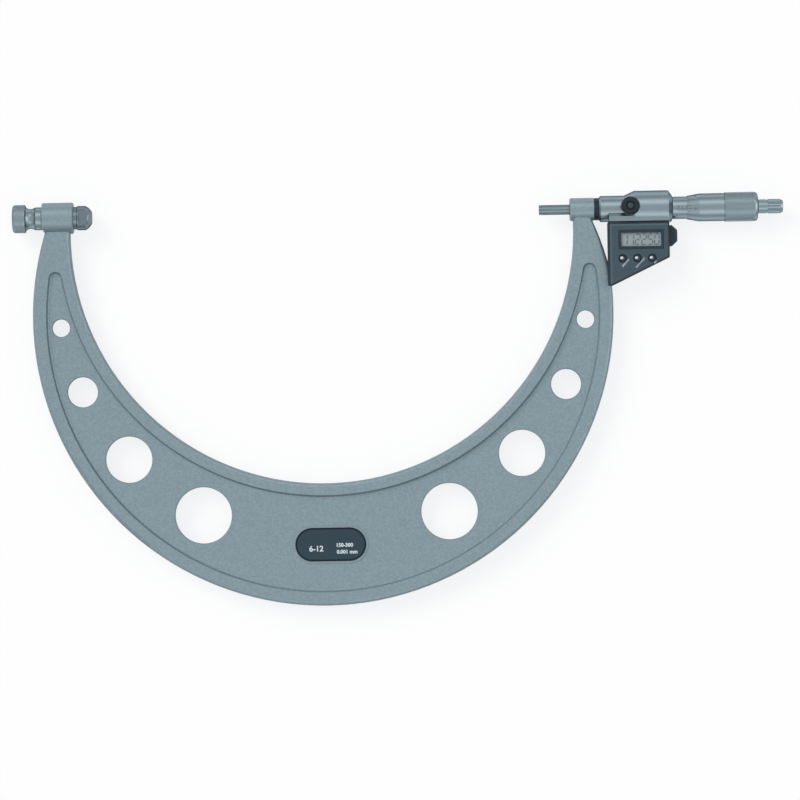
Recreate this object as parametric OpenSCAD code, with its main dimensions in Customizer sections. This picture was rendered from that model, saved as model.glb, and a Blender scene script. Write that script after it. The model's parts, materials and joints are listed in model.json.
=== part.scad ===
// Outside micrometer, 150 to 300 mm, with interchangeable anvils and a digital measuring head.
// The origin is the centre of the anvil's measuring face. X runs along the measuring axis
// towards the spindle, Y away from the bow of the frame and Z out of the display side.
// All sizes are in millimetres. The instrument is drawn lying on its back.

/* [Measuring span] */
// Largest size that fits between the measuring faces
span_max = 304.8; // [290:0.1:310]
// Travel of the spindle
travel = 25.4; // [20:0.1:26]
// How far the spindle stands back from its innermost place
opened = 5.715; // [0:0.005:19]
// Diameter of the spindle
spindle_d = 6.35; // [6:0.05:6.5]
// Outer diameter of the feed screw
screw_d = 7.2; // [6.8:0.1:7.4]
// Length of thread in the feed nut
nut_len = 20; // [14:0.5:22]

/* [Fits] */
// Radial clearance of a running fit
run_gap = 0.03; // [0.02:0.005:0.08]
// Clearance between pieces that seat on each other
seat_gap = 0.02; // [0.01:0.005:0.05]
// Clearance between faces that move past each other
side_gap = 0.15; // [0.1:0.01:0.25]

/* [Frame] */
// Drop of the inner arc's centre below the measuring axis
inner_drop = 11.5; // [8:0.5:16]
// Drop of the outer arc's centre below the measuring axis
outer_drop = 64.8; // [58:0.1:70]
// Thickness of the frame at its rims
frame_t = 10; // [9:0.1:12]
// Thickness of the web between the rims
web_t = 4.6; // [3.6:0.1:5.6]
// Width of the rim along the inner arc
rim_in = 7.5; // [5.5:0.5:8.5]
// Width of the rim along the outer arc
rim_out = 8.5; // [6:0.5:9.5]
// Rounding of the rims' edges
edge_r = 2.5; // [1:0.5:3]
// Rounding between the web and its rims
web_fillet = 1.4; // [0.6:0.2:1.8]
// Set-back of the inner arc from the anvil boss's inner face
neck_in_set = 1.69; // [1:0.01:3]
// Set-back of the outer arc from the anvil boss's outer face
neck_out_set = 4.91; // [4:0.01:6]
// Angle of the web's round ends, from the middle of the bow
web_end_at = 81; // [79:0.5:82]
// Angles of the holes in the web, from the middle of the bow
hole_at = [23.6, 41.2, 57.1, 70.7]; // [20:0.1:74]
// Radii of the holes in the web
hole_r = [18, 14.8, 9.6, 5.6]; // [4:0.1:18]
// Size of the range plate
plate_size = [45, 21.2]; // [18:0.1:46]
// Thickness of the range plate
plate_t = 0.9; // [0.5:0.1:1.5]
// Place of the range plate from the middle of the web
plate_set = [2.3, -0.5]; // [-3:0.1:3]

/* [Anvil] */
// Distance from the anvil boss to the measuring face
anvil_len = 12; // [10:0.5:14]
// Diameter of the anvil's head
anvil_d = 15.5; // [14:0.1:17]
// Distance across the anvil's spanner flats
anvil_flats = 12.6; // [12:0.1:13.5]
// Diameter of the anvil's shank
shank_d = 8; // [7.5:0.5:9]
// Diameter of the measuring tips
tip_d = 7.6; // [7:0.1:8]
// Diameter of the anvil boss
anvil_boss_d = 20; // [18:0.5:21]
// Length of the anvil boss
anvil_boss_len = 20; // [18:0.5:24]

/* [Anvil clamp] */
// Diameter of the clamp screw's knob
clamp_head_d = 17.8; // [16:0.1:19]
// Width of the clamp screw's knob
clamp_head_len = 8.8; // [7:0.1:11]
// Diameter of the thrust collar
collar_d = 14.6; // [13:0.1:15.5]
// Length of the thrust collar
collar_len = 4.4; // [3:0.1:6]
// Smallest diameter of the clamp screw's hollow waist
waist_d = 12.6; // [11.6:0.1:13]
// Length of the waist
waist_len = 5.6; // [5:0.1:7]
// Diameter of the clamp screw's thread
clamp_thread_d = 5; // [4:0.5:6]
// Reach of the clamp screw into the anvil
clamp_grip = 8; // [6:0.5:9]

/* [Measuring head] */
// Diameter of the frame's boss at the head
head_boss_d = 14.6; // [14.4:0.1:16]
// Length of that boss
head_boss_len = 15.8; // [14:0.1:18]
// Width of the spacer ring between boss and head
ring_len = 2.9; // [2:0.1:4]
// Diameter of the head's slim end
head_d = 16.7; // [16:0.1:17.5]
// Diameter of the head over the encoder
encoder_d = 22.6; // [21.8:0.1:24]
// Length of the head
head_len = 46.5; // [46:0.1:50]
// Outer diameter of the spindle's bush
bush_d = 9.5; // [9:0.1:10.5]
// Height of the head's flat underside below the axis
head_low = 8.8; // [8.6:0.1:9.4]
// Half thickness of the head at its underside
saddle_half = 9.6; // [8.8:0.1:10]
// Diameter of the encoder's discs
disc_d = 15.2; // [14:0.1:15.6]

/* [Spindle clamp] */
// Distance of the clamp knob from the head's left end
knob_from_end = 19.5; // [19:0.1:20]
// Height of the clamp knob's axis above the measuring axis
knob_up = 1.5; // [0:0.1:2]
// Diameter of the clamp knob
knob_d = 11.8; // [10:0.1:12]
// Height of the clamp knob
knob_h = 5.9; // [5:0.1:7]
// Number of finger grooves around the clamp knob
knob_grooves = 20; // [12:2:28]
// Diameter of the clamp's shaft
clamp_shaft_d = 5; // [4:0.1:5.4]

/* [Sleeve and thimble] */
// Outer diameter of the graduated sleeve
sleeve_d = 14.2; // [14:0.1:14.6]
// Outer diameter of the inner sleeve
inner_sleeve_d = 12.5; // [12:0.1:12.6]
// Gap between the head and the thimble at its innermost place
thimble_stop = 3.985; // [3:0.005:6]
// Diameter of the thimble's body
thimble_d = 17.8; // [17.2:0.1:18.4]
// Diameter of the thimble's thin edge
thimble_edge_d = 15; // [14.96:0.02:15.4]
// Length of the thimble's bevel
bevel_len = 7.6; // [6:0.1:9]
// Diameter of the thimble's knurled grip
grip_d = 18.5; // [18:0.1:19.5]
// Length of the grip
grip_len = 21.4; // [18:0.1:24]
// Thickness of the thimble's end wall
thimble_wall = 6.7; // [6.2:0.1:8]

/* [Ratchet] */
// Diameter of the ratchet's knurled knob
ratchet_d = 9.2; // [9:0.1:10]
// Length of the ratchet
ratchet_len = 16; // [15.5:0.1:18]
// Number of ratchet teeth
ratchet_teeth = 8; // [6:1:10]
// Number of ridges on the ratchet knob
ratchet_ridges = 24; // [16:2:30]

/* [Display unit] */
// Distance of the cover's left edge from the head's left end
cover_from_end = 4.7; // [4.2:0.1:5.2]
// Width of the cover
cover_w = 39.5; // [39:0.1:40]
// Height of the cover's long left side
cover_h = 40.5; // [38:0.1:43]
// Height of the cover's short right side
cover_short_h = 22.9; // [21.5:0.1:24]
// Height of the display side above the measuring axis
cover_top = 12; // [11.6:0.1:13]
// Depth of the cover from its front to the parting line
cover_depth = 4.6; // [4.5:0.1:4.6]
// Distance of the case's back from the measuring axis
case_back = 11.5; // [11.4:0.1:12.5]
// Distance of the case's left side from the cover's
case_set = 4.3; // [4.2:0.1:4.6]
// Wall of the cover and the case
case_wall = 1.5; // [1.2:0.1:1.6]
// Bevel around the cover's front
cover_bevel = 1.1; // [0.6:0.1:1.2]
// Size of the display's opening
lcd_size = [26, 8.8]; // [8.2:0.1:26.6]
// Size of the clear window
window_size = [29, 12.6]; // [12:0.1:29.4]
// Diameter of the buttons
button_d = 5; // [4.6:0.1:5.4]
// Distance between the buttons
button_pitch = 9.4; // [9:0.1:9.6]
// Travel of the buttons
button_travel = 0.5; // [0.3:0.05:0.5]

/* [Battery] */
// Diameter of the button cell
battery_d = 11.6; // [11:0.1:11.8]
// Height of the button cell
battery_h = 5.4; // [5:0.1:5.6]
// Diameter of the battery cap
cap_d = 13.4; // [13.2:0.1:14]
// Thickness of the battery cap
cap_t = 1.7; // [1.5:0.1:1.9]

/* [Hidden] */
$fn = 96;

// Colours
cast_grey = [0.53, 0.60, 0.64];
steel_grey = [0.62, 0.68, 0.71];
bright_steel = [0.76, 0.80, 0.83];
carbide_grey = [0.45, 0.50, 0.53];
slate = [0.27, 0.34, 0.38];
near_black = [0.10, 0.15, 0.19];
plate_blue = [0.19, 0.27, 0.32];
lcd_grey = [0.60, 0.66, 0.64];
board_green = [0.12, 0.35, 0.22];
brass = [0.75, 0.62, 0.35];

// Stations along the measuring axis
boss_in = -anvil_len;
boss_out = boss_in - anvil_boss_len;
ring_x = span_max + head_boss_len;
head_x = ring_x + ring_len;
head_end = head_x + head_len;
spindle_x = span_max - travel + opened;
retract_left = travel - opened;

// Frame arcs
frame_x = (span_max - anvil_len) / 2;
half_span = frame_x + anvil_len;
inner_r = norm([half_span + neck_in_set, inner_drop]);
outer_r = norm([half_span + anvil_boss_len - neck_out_set, outer_drop]);
arc_gap = outer_drop - inner_drop;
pocket_in_r = inner_r + rim_in;
pocket_out_r = outer_r - rim_out;
pocket_sum = pocket_in_r + pocket_out_r;
pocket_depth = (frame_t - web_t) / 2;
band_top = -1.5;
arm_trim_r = 170;
arm_trim_at = 24;
arm_trim_set = 1.2;
arm_trim_low = 8;
arm_trim_end = 60;
hole_chamfer = 0.5;
plate_lip = 1.3;
plate_lip_h = 0.6;
boss_chamfer = 0.6;
boss_slope_from = 6.4;
boss_slope_len = 2.6;
shank_len = anvil_boss_len - 5;

// Head sections
collar_x = boss_out - seat_gap;
waist_x = collar_x - collar_len - seat_gap;
clamp_head_x = waist_x - waist_len;
waist_rise = (collar_d - waist_d) / 2;
knob_end_r = 2.2;
waist_round = (pow(waist_len / 2, 2) + pow(waist_rise, 2)) / (2 * waist_rise);
bush_r = bush_d / 2;
bush_x = span_max + 0.8;
bush_end = head_x + 14;
step_x = head_x + 16;
step_end = head_x + 22.5;
hub_x = head_x + 23.7;
hub_r = 4.4;
cavity_x = head_x + 27.5;
rotor_disc_x = head_x + 33.1;
disc_t = 1.8;
stator_x = rotor_disc_x + disc_t + 0.6;
stator_t = 2.4;
sleeve_foot_x = stator_x + stator_t + seat_gap;
cap_x = head_end - 3.2;
cavity_r = disc_d / 2 + seat_gap;
spindle_hole_r = spindle_d / 2 + 0.22;
key_w = 1;
key_h = 0.55;
key_len = 8;
key_x = hub_x + 1.6;

head_screw_at = [[head_x + 18.5, 1], [head_x + 18.5, -6.6], [head_x + 34.5, -6.6]];
ribbon_z = 4.44;
ribbon_w = 2.2;
ribbon_foot = 4.7;
ribbon_socket = 1.7;

// Clamp knob
knob_x = head_x + knob_from_end;
knob_seat = head_d / 2 - 0.15;
pad_low = spindle_d / 2 + run_gap + 0.02;
pad_top = 5.2;
groove_r = 0.55;
knob_screw_r = 1.7;

// Sleeve and thimble
sleeve_end = head_end + thimble_stop + travel + 4.6;
inner_end = sleeve_end + 7;
thimble_x = head_end + thimble_stop + opened;
thimble_depth = inner_end + 1.3 - head_end - thimble_stop;
thimble_end = thimble_x + thimble_depth + thimble_wall;
thimble_bore_r = sleeve_d / 2 + side_gap;
screw_x = inner_end - nut_len - retract_left;
screw_end = thimble_x + thimble_depth - 0.5;
screw_r = screw_d / 2;
nut_r = screw_r + run_gap;
relief_r = screw_r + 0.6;
taper_r = [screw_r - 0.1, screw_r - 0.5];
groove_x = key_x - retract_left - 0.5;
groove_end = key_x + key_len + opened + 0.6;

// Ratchet
ratchet_x = thimble_end + side_gap;
ratchet_end = ratchet_x + ratchet_len;
stud_r = 2;
ratchet_flange = 1.2;
spring_x = ratchet_x + ratchet_flange + 0.05;
spring_len = 3.4;
spring_turns = 3;
spring_r = 2.75;
spring_wire = 0.24;
spring_steps = 16;
spring_sides = 6;
spring_rings = spring_turns * spring_steps;
clutch_x = spring_x + spring_len + 0.05;
clutch_t = 2.5;
tooth_h = 0.5;
clutch_r = 3.3;
knob_web_x = clutch_x + clutch_t + 2 * tooth_h + 0.12;
knob_web = 2.7;
ratchet_bore = clutch_r + 0.3;
screw_head_x = knob_web_x + knob_web + side_gap;

// Display unit
cover_l = head_x + cover_from_end;
cover_r = cover_l + cover_w;
unit_top = -head_low - seat_gap;
unit_low = unit_top - cover_h;
unit_short = unit_top - cover_short_h;
slope_x = cover_l + 2.8;
slope_k = (unit_short - unit_low) / (cover_r - slope_x);
part_z = cover_top - cover_depth;
case_l = cover_l + case_set;
case_in = cover_top - case_wall;
board_z = 5.7;
board_t = 1.2;
board_top = board_z + board_t;
lcd_x = cover_l + 21.3;
lcd_y = unit_top - 11.3;
window_t = 0.9;
lcd_t = 1.2;
lcd_z = case_in - lcd_t - 0.05;
button_x = cover_l + 9.4;
button_rim = 0.45;
button_top = cover_top + 0.5;
button_flange = 0.7;
button_dish = 0.5;
button_low = board_top + 2;
switch_h = button_low - button_travel - 0.1 - board_top;
post_r = 2.1;
post_hole_r = 0.95;
screw_head_r = 1.6;
screw_head_t = 1;
screw_z = 0.2 - case_back;
post_set = 3.4;
post_down = [3.2, 19.4, 34];
post_x = [case_l + post_set, cover_r - post_set];
post_at = [[post_x[0], unit_top - post_down[0]], [post_x[1], unit_top - post_down[0]],
    [post_x[1], unit_top - post_down[1]], [post_x[0], unit_top - post_down[2]]];
battery_x = case_l + 14.4;
battery_y = unit_top - 16.2;
cap_z = -case_back + 0.2;
seal_t = 0.6;
battery_z = cap_z + cap_t + 0.1;
chamber_r = battery_d / 2 + 0.2;
chamber_top = battery_z + battery_h + 1.6;
plug_y = unit_top - 9;
plug_z = 0.5;
plug_half = 3.6;
plug_reach = 5.3;
plug_base = 13.4;
plug_tip = 7;
plug_round = 1;
plug_tongue = 2.4;
slot_half = [2.8, 1.8];
socket_wall = 0.8;
socket_len = 8;
screw_grip = 2.4;
lcd_border = 0.5;

function unit(v) = v / norm(v);

// Points of a circular arc that rounds the corner p between its neighbours a and b
function corner(p, a, b, r, n = 6) =
    let (u = unit(a - p), v = unit(b - p), h = acos(u * v) / 2,
        c = p + unit(u + v) * r / sin(h),
        from = p + u * r / tan(h) - c, to = p + v * r / tan(h) - c,
        a0 = atan2(from[1], from[0]), turn = atan2(to[1], to[0]) - a0,
        sweep = turn > 180 ? turn - 360 : turn < -180 ? turn + 360 : turn)
    [for (i = [0 : n]) c + r * [cos(a0 + sweep * i / n), sin(a0 + sweep * i / n)]];

// An outline with every corner rounded
function rounded(pts, r, n = 6) =
    [for (i = [0 : len(pts) - 1])
        each corner(pts[i], pts[(i + len(pts) - 1) % len(pts)], pts[(i + 1) % len(pts)], r, n)];

function box_points(w, h) = [[-w / 2, -h / 2], [w / 2, -h / 2], [w / 2, h / 2], [-w / 2, h / 2]];

// Distance from the inner arc's centre of a circle that touches both walls of the web's pocket
function mid_s(a) = (pocket_sum * pocket_sum - arc_gap * arc_gap) / (2 * (pocket_sum - arc_gap * cos(a)));
function mid_at(a) = [mid_s(a) * sin(a), -inner_drop - mid_s(a) * cos(a)];
plate_at = [frame_x, 0] + mid_at(0) + plate_set;

// Lower edge of the display unit at x, moved in by d
function low_y(x, d) = unit_low + slope_k * (x - slope_x) + d * sqrt(1 + slope_k * slope_k);
// The row of buttons lies as low as the cover's slope lets its last button
button_y = low_y(button_x + 2 * button_pitch, case_wall + button_d / 2 + button_rim + side_gap);
function case_outline(d) = [[case_l + d, unit_top - d], [case_l + d, low_y(case_l + d, d)],
    [cover_r - d, low_y(cover_r - d, d)], [cover_r - d, unit_top - d]];
function cover_outline(d) = [[cover_l + d, unit_top - d], [cover_l + d, unit_low + d],
    [slope_x + d * (1 - sqrt(1 + slope_k * slope_k)) / slope_k, unit_low + d],
    [cover_r - d, low_y(cover_r - d, d)], [cover_r - d, unit_top - d]];

// A solid turned about the measuring axis, from points of station and radius
module turned(pts) rotate([0, 90, 0]) rotate_extrude() polygon([for (p = pts) [p[1], p[0]]]);
module bar(x0, x1, r) translate([x0, 0, 0]) rotate([0, 90, 0]) cylinder(h = x1 - x0, r = r);
module box_at(lo, hi) translate(lo) cube(hi - lo);
module upright(x, y, z0, z1, r) translate([x, y, z0]) cylinder(h = z1 - z0, r = r);
module upright_y(p, y0, y1, r) translate([p[0], y1, p[1]]) rotate([90, 0, 0]) cylinder(h = y1 - y0, r = r);

module rounded_disc(r) rotate_extrude() {
    translate([0, -frame_t / 2]) square([r - edge_r, frame_t]);
    translate([0, edge_r - frame_t / 2]) square([r, frame_t - 2 * edge_r]);
    for (s = [-1, 1]) translate([r - edge_r, s * (frame_t / 2 - edge_r)]) circle(edge_r);
}

module flared_hole(r) rotate_extrude() {
    translate([0, -frame_t]) square([r, 2 * frame_t]);
    for (s = [0, 1]) mirror([0, s]) difference() {
        translate([r - 1, frame_t / 2 - edge_r]) square([1 + edge_r, edge_r + 1]);
        translate([r + edge_r, frame_t / 2 - edge_r]) circle(edge_r);
    }
}

// Wall of the web's pocket, from the rim's face down to the web, as set-back and depth
pocket_wall = [for (i = [0 : 4]) [0.6 + web_fillet * (1 - cos(22.5 * i)),
    web_fillet * (1 - sin(22.5 * i)) - pocket_depth]];
module pocket_disc(r, s) rotate_extrude() polygon(concat(
    [[0, frame_t / 2 + 1], [r, frame_t / 2 + 1], [r, frame_t / 2]],
    [for (p = pocket_wall) [r + s * p[0], frame_t / 2 + p[1]]], [[0, web_t / 2]]));

module web_pocket() {
    middle = [0, -(inner_drop + outer_drop) / 2];
    end = mid_at(web_end_at);
    side = end - middle;
    intersection() {
        difference() {
            translate([frame_x, -outer_drop, 0]) pocket_disc(pocket_out_r, -1);
            translate([frame_x, -inner_drop, 0]) pocket_disc(pocket_in_r, 1);
        }
        translate([frame_x, middle[1], 0]) linear_extrude(frame_t)
            polygon([[0, 0], 2 * side, [2 * side[0], -2 * outer_r], [-2 * side[0], -2 * outer_r],
                2 * [-side[0], side[1]]]);
    }
    for (s = [-1, 1]) translate([frame_x + s * end[0], end[1], 0])
        pocket_disc(mid_s(web_end_at) - pocket_in_r - 0.08, -1);
}

module web_hole(r) {
    translate([0, 0, -frame_t / 2]) cylinder(h = frame_t, r = r);
    for (s = [0, 1]) mirror([0, 0, s]) translate([0, 0, web_t / 2 - hole_chamfer])
        cylinder(h = 2 * hole_chamfer, r1 = r, r2 = r + 2 * hole_chamfer);
}

module frame_band() difference() {
    intersection() {
        translate([frame_x, -outer_drop, 0]) rounded_disc(outer_r);
        box_at([frame_x - outer_r - 1, -outer_drop - outer_r - 1, -frame_t],
            [frame_x + outer_r + 1, band_top, frame_t]);
    }
    translate([frame_x, -inner_drop, 0]) flared_hole(inner_r);
    difference() {
        box_at([span_max, -arm_trim_end, -frame_t], [span_max + arm_trim_end, 0, frame_t]);
        translate([ring_x - arm_trim_set, -arm_trim_low, 0])
            translate(-arm_trim_r * [cos(arm_trim_at), sin(arm_trim_at), 0]) rounded_disc(arm_trim_r);
    }
    web_pocket();
    mirror([0, 0, 1]) web_pocket();
    for (i = [0 : len(hole_at) - 1], s = [-1, 1])
        translate([frame_x + s * mid_at(hole_at[i])[0], mid_at(hole_at[i])[1], 0]) web_hole(hole_r[i]);
}

module plate_seat() translate([plate_at[0], plate_at[1], web_t / 2 - 0.5]) difference() {
    linear_extrude(plate_lip_h + 0.5) polygon(rounded(box_points(plate_size[0] + 2 * plate_lip,
        plate_size[1] + 2 * plate_lip), plate_size[1] / 2 + plate_lip - 0.01, 10));
    translate([0, 0, 0.5]) linear_extrude(2) polygon(rounded(box_points(plate_size[0] + 2 * side_gap,
        plate_size[1] + 2 * side_gap), plate_size[1] / 2 + side_gap - 0.01, 10));
}

module frame() color(cast_grey) difference() {
    union() {
        frame_band();
        plate_seat();
        difference() {
            turned([[boss_out, 0], [boss_out, anvil_boss_d / 2 - boss_chamfer],
                [boss_out + boss_chamfer, anvil_boss_d / 2], [boss_in - boss_chamfer, anvil_boss_d / 2],
                [boss_in, anvil_boss_d / 2 - boss_chamfer], [boss_in, 0]]);
            translate([boss_out, 0, -anvil_boss_d]) linear_extrude(2 * anvil_boss_d)
                polygon([[-1, -boss_slope_from + 1.65], [-1, -anvil_boss_d], [boss_slope_len, -anvil_boss_d],
                    [boss_slope_len, -boss_slope_from - 1.65 * boss_slope_len]]);
        }
        turned([[span_max, 0], [span_max, head_boss_d / 2 - boss_chamfer],
            [span_max + boss_chamfer, head_boss_d / 2], [ring_x - boss_chamfer, head_boss_d / 2],
            [ring_x, head_boss_d / 2 - boss_chamfer], [ring_x, 0]]);
    }
    bar(boss_out - 1, boss_in + 1, shank_d / 2 + run_gap);
    bar(span_max - 1, ring_x + 1, bush_r + seat_gap);
}

module range_plate() color(plate_blue) translate([plate_at[0], plate_at[1], web_t / 2 + seat_gap])
    linear_extrude(plate_t) polygon(rounded(box_points(plate_size[0], plate_size[1]), plate_size[1] / 2 - 0.01, 12));

module anvil() color(bright_steel) difference() {
    turned([[boss_in - shank_len, 0], [boss_in - shank_len, shank_d / 2 - 0.5],
        [boss_in - shank_len + 0.5, shank_d / 2], [boss_in + seat_gap, shank_d / 2],
        [boss_in + seat_gap, anvil_d / 2 - 0.6], [boss_in + 2.2, anvil_d / 2 - 0.6],
        [boss_in + 2.6, anvil_d / 2], [-4.2, anvil_d / 2], [-2.2, 6.4], [-0.7, 4.6], [-0.4, 4.2], [-0.4, 0]]);
    bar(boss_in - shank_len - 1, boss_in - shank_len + clamp_grip + 2, clamp_thread_d / 2 + run_gap);
    bar(-1.9, 1, tip_d / 2 + seat_gap);
    for (s = [0, 1]) mirror([0, 0, s])
        box_at([boss_in + 3.4, -anvil_d, anvil_flats / 2], [-3, anvil_d, anvil_d]);
}

module anvil_tip() color(carbide_grey)
    turned([[-1.88, 0], [-1.88, tip_d / 2], [-0.2, tip_d / 2], [0, tip_d / 2 - 0.2], [0, 0]]);

module anvil_clamp_screw() color(steel_grey) {
    r = clamp_head_d / 2;
    x0 = clamp_head_x - clamp_head_len;
    sweep = asin(waist_len / 2 / waist_round);
    turned(concat([[x0, 0]], [for (a = [0 : 22.5 : 90]) [x0 + 0.8 * knob_end_r * (1 - cos(a)),
            r - knob_end_r * (1 - sin(a))]], [[clamp_head_x - 0.7, r]],
        [for (i = [0 : 10]) let (a = sweep * (i / 5 - 1)) [clamp_head_x + waist_len / 2 + waist_round * sin(a),
            waist_d / 2 + waist_round * (1 - cos(a))]],
        [[waist_x, clamp_thread_d / 2 + 0.6], [boss_out + 2, clamp_thread_d / 2 + 0.6],
            [boss_out + 2, clamp_thread_d / 2], [boss_in - shank_len + clamp_grip - 0.6, clamp_thread_d / 2],
            [boss_in - shank_len + clamp_grip, clamp_thread_d / 2 - 0.6],
            [boss_in - shank_len + clamp_grip, 0]]));
}

module anvil_clamp_collar() color(steel_grey) turned([[collar_x - collar_len, clamp_thread_d / 2 + 0.6 + run_gap],
    [collar_x - collar_len, collar_d / 2 - 0.4], [collar_x - collar_len + 0.4, collar_d / 2],
    [collar_x - 0.4, collar_d / 2], [collar_x, collar_d / 2 - 0.4],
    [collar_x, clamp_thread_d / 2 + 0.6 + run_gap]]);

module head_spacer_ring() color(near_black) difference() {
    bar(ring_x + seat_gap, head_x - seat_gap, head_boss_d / 2 - 0.15);
    bar(ring_x - 1, head_x + 1, bush_r + seat_gap);
}

module spindle_bush() color(brass) difference() {
    bar(bush_x, bush_end, bush_r);
    bar(bush_x - 1, bush_end + 1, spindle_d / 2 + run_gap);
}

// Outer form of the head: slim end, encoder housing, and the saddle that the display unit hangs on
module head_form() intersection() {
    union() {
        turned([[head_x, 0], [head_x, head_d / 2 - 1], [head_x + 1, head_d / 2], [step_x, head_d / 2],
            [step_end, encoder_d / 2], [head_end - 2.4, encoder_d / 2], [head_end, encoder_d / 2 - 3.2],
            [head_end, 0]]);
        translate([head_x + 6, 0, 0]) rotate([90, 0, 90]) linear_extrude(head_len - 8)
            polygon([[-head_low, -saddle_half + 0.6], [-head_low + 0.6, -saddle_half],
                [-5, -saddle_half], [0, -saddle_half + 4], [0, saddle_half - 4], [-5, saddle_half],
                [-head_low + 0.6, saddle_half], [-head_low, saddle_half - 0.6]]);
    }
    box_at([head_x - 1, -head_low, -encoder_d], [head_end + 1, encoder_d, encoder_d]);
}

module head_body() color(steel_grey) difference() {
    intersection() {
        head_form();
        box_at([head_x, -encoder_d, -encoder_d], [cap_x, encoder_d, encoder_d]);
    }
    bar(head_x - 1, bush_end, bush_r + seat_gap);
    bar(head_x, head_end, spindle_hole_r);
    bar(hub_x - 0.2, cavity_x + 1, hub_r + run_gap);
    bar(cavity_x, head_end, cavity_r);
    upright(knob_x, knob_up, 0, encoder_d, clamp_shaft_d / 2 + run_gap);
    upright(knob_x, knob_up, knob_seat, encoder_d, knob_d / 2 + 0.3);
    box_at([stator_x - 0.2, -head_low - 1, ribbon_z - 0.3], [stator_x + ribbon_w + 0.3, -4, ribbon_z + 0.6]);
    for (p = head_screw_at) upright_y(p, -head_low - 1, -head_low + 3.4, 1.05);
}

module head_end_cap() color(steel_grey) difference() {
    intersection() {
        head_form();
        box_at([cap_x + seat_gap, -encoder_d, -encoder_d], [head_end, encoder_d, encoder_d]);
    }
    bar(cap_x - 1, head_end + 1, inner_sleeve_d / 2 + seat_gap);
}

module head_mount_screws() color(bright_steel) for (p = head_screw_at) {
    upright_y(p, unit_top - case_wall - 1, -head_low + 3, 1);
    upright_y(p, unit_top - case_wall - 1.2, unit_top - case_wall - seat_gap, 1.8);
}

module clamp_knob() color(near_black) difference() {
    translate([knob_x, knob_up, knob_seat + side_gap]) rotate_extrude() polygon(concat(
        [[0, 0], [knob_d / 2 - 0.8, 0], [knob_d / 2, 0.8]],
        [for (a = [0 : 22.5 : 90]) [knob_d / 2 - 1.6 * (1 - cos(a)), knob_h - 1.6 * (1 - sin(a))]],
        [[2.9, knob_h], [2.6, knob_h - 0.9], [0, knob_h - 0.9]]));
    upright(knob_x, knob_up, 0, knob_seat + 3, clamp_shaft_d / 2 + seat_gap);
    upright(knob_x, knob_up, knob_seat, knob_seat + 2 * knob_h, 1.1);
    for (i = [0 : knob_grooves - 1]) translate([knob_x, knob_up, 0]) rotate([0, 0, 360 * (i + 0.5) / knob_grooves])
        upright(knob_d / 2 + 0.25, 0, knob_seat, knob_seat + 2 * knob_h, groove_r);
}

module clamp_knob_screw() color(bright_steel) difference() {
    union() {
        upright(knob_x, knob_up, knob_seat + side_gap + knob_h - 0.88, knob_seat + side_gap + knob_h + 0.1, knob_screw_r);
        upright(knob_x, knob_up, knob_seat + 0.8, knob_seat + side_gap + knob_h - 0.8, 1);
    }
    translate([knob_x, knob_up, knob_seat + side_gap + knob_h - 0.3]) rotate([0, 0, 40])
        translate([-3, -0.3, 0]) cube([6, 0.6, 2]);
}

module clamp_shaft() color(steel_grey) difference() {
    upright(knob_x, knob_up, pad_top + side_gap, knob_seat + 2.9, clamp_shaft_d / 2);
    upright(knob_x, knob_up, knob_seat + 0.5, knob_seat + knob_h, 1 + seat_gap);
}

module clamp_pad() color(brass) difference() {
    upright(knob_x, knob_up, 1, pad_top, clamp_shaft_d / 2 - 0.02);
    bar(knob_x - 5, knob_x + 5, pad_low);
    box_at([knob_x - 5, -9, -9], [knob_x + 5, 9, 1.6]);
}

module encoder_rotor() color(brass) {
    difference() {
        turned([[hub_x, 0], [hub_x, hub_r], [rotor_disc_x, hub_r], [rotor_disc_x, disc_d / 2 - 0.6],
            [rotor_disc_x + disc_t, disc_d / 2 - 0.6], [rotor_disc_x + disc_t, hub_r],
            [rotor_disc_x + disc_t + 0.3, hub_r], [rotor_disc_x + disc_t + 0.3, 0]]);
        bar(hub_x - 1, stator_x + 1, spindle_d / 2 + run_gap);
    }
    box_at([key_x, -key_w / 2, spindle_d / 2 - key_h], [key_x + key_len, key_w / 2, spindle_d / 2 + 0.4]);
}

module encoder_stator() color(board_green) {
    difference() {
        bar(stator_x, stator_x + stator_t, disc_d / 2);
        bar(stator_x - 1, stator_x + stator_t + 1, spindle_hole_r + 0.3);
        box_at([stator_x - 1, -disc_d, ribbon_z - seat_gap], [stator_x + stator_t + 1, -5, disc_d]);
    }
}

module sensor_ribbon() color(brass)
    box_at([stator_x + 0.1, unit_top - ribbon_foot + 0.1, ribbon_z], [stator_x + ribbon_w, -5.1, ribbon_z + 0.26]);

module inner_sleeve() color(steel_grey) difference() {
    turned([[sleeve_foot_x, relief_r], [sleeve_foot_x, disc_d / 2], [cap_x - seat_gap, disc_d / 2],
        [cap_x - seat_gap, inner_sleeve_d / 2], [inner_end - 18, inner_sleeve_d / 2],
        [inner_end - 18, inner_sleeve_d / 2 - 0.9], [inner_end - 0.6, inner_sleeve_d / 2 - 0.9],
        [inner_end, inner_sleeve_d / 2 - 1.5], [inner_end, nut_r], [inner_end - nut_len, nut_r],
        [inner_end - nut_len, relief_r]]);
    for (a = [0, 120, 240]) rotate([a, 0, 0]) box_at([inner_end - 12, -0.4, 0], [inner_end + 1, 0.4, 9]);
}

module adjusting_nut() color(steel_grey) difference() {
    bar(sleeve_end + 0.5, inner_end - 0.7, inner_sleeve_d / 2 + 0.5);
    bar(sleeve_end, inner_end, inner_sleeve_d / 2 - 0.9 + seat_gap);
    for (a = [0 : 90 : 270]) rotate([a, 0, 0])
        box_at([inner_end - 2.2, -0.6, inner_sleeve_d / 2 - 0.2], [inner_end, 0.6, 9]);
}

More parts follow.
